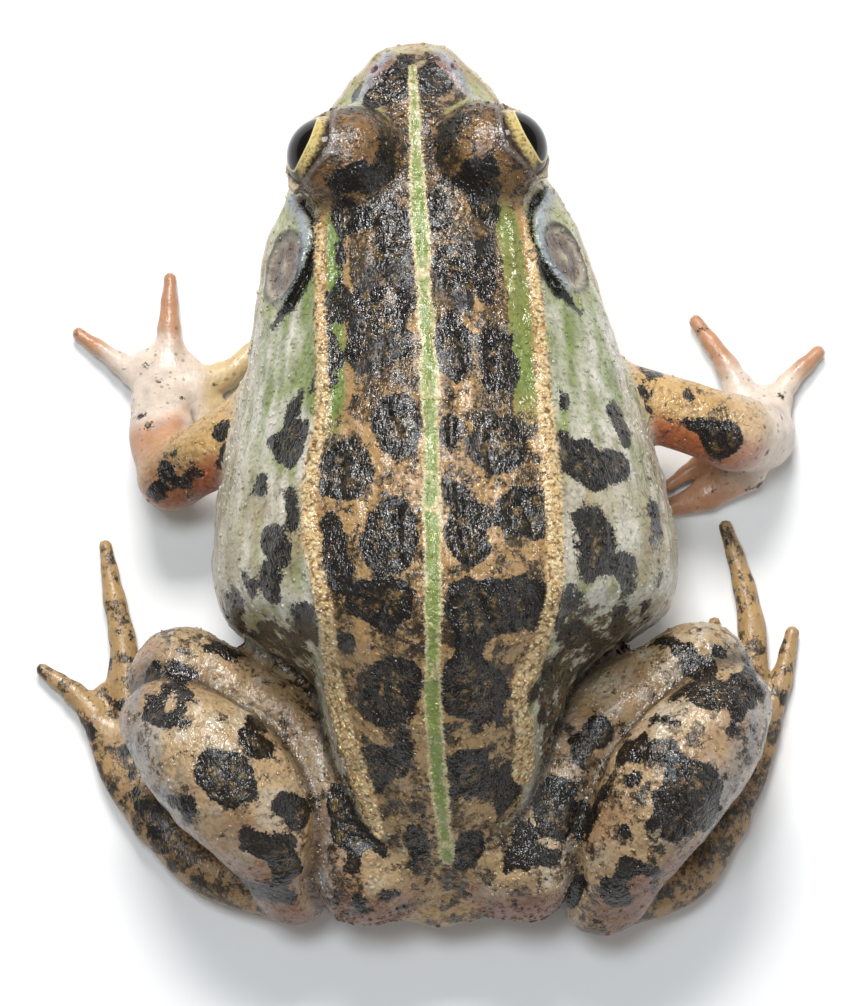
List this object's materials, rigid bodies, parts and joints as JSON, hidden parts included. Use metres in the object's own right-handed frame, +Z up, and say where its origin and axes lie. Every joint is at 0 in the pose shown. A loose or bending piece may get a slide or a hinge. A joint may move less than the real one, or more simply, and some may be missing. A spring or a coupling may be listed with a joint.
{
  "type": "pond frog",
  "caption": "Life-size model of a plump spotted pond frog crouched on the ground, head slightly raised, hind legs folded, with a pale stripe down its back.",
  "frame": {"origin": "centre of the bounding box, on the ground the frog crouches on", "axes": "+Z up; the frog faces -Y and its left side is +X"},
  "size_m": [0.0671, 0.0727, 0.0292],
  "materials": {
    "back_skin": "moist skin, brown and green with dark spots",
    "lip_skin": "moist skin, cream",
    "arm_skin": "moist skin, golden brown",
    "leg_skin": "moist skin, brown with dark blotches",
    "eardrum_skin": "thin taut skin, grey brown",
    "eye": "wet gloss, dark pupil in a gold iris"
  },
  "bodies": {
    "root": {"head": "back_skin", "lower_jaw": "lip_skin", "trunk": "back_skin", "eye_left": "eye", "eye_right": "eye", "eardrum_left": "eardrum_skin", "eardrum_right": "eardrum_skin", "upper_arm_left": "arm_skin", "forearm_left": "arm_skin", "hand_left": "arm_skin", "finger_1_left": "arm_skin", "finger_2_left": "arm_skin", "finger_3_left": "arm_skin", "finger_4_left": "arm_skin", "upper_arm_right": "arm_skin", "forearm_right": "arm_skin", "hand_right": "arm_skin", "finger_1_right": "arm_skin", "finger_2_right": "arm_skin", "finger_3_right": "arm_skin", "finger_4_right": "arm_skin", "thigh_left": "leg_skin", "shank_left": "leg_skin", "tarsus_left": "leg_skin", "foot_left": "leg_skin", "toe_1_left": "leg_skin", "toe_2_left": "leg_skin", "toe_3_left": "leg_skin", "toe_4_left": "leg_skin", "toe_5_left": "leg_skin", "thigh_right": "leg_skin", "shank_right": "leg_skin", "tarsus_right": "leg_skin", "foot_right": "leg_skin", "toe_1_right": "leg_skin", "toe_2_right": "leg_skin", "toe_3_right": "leg_skin", "toe_4_right": "leg_skin", "toe_5_right": "leg_skin"}
  },
  "joints": []
}
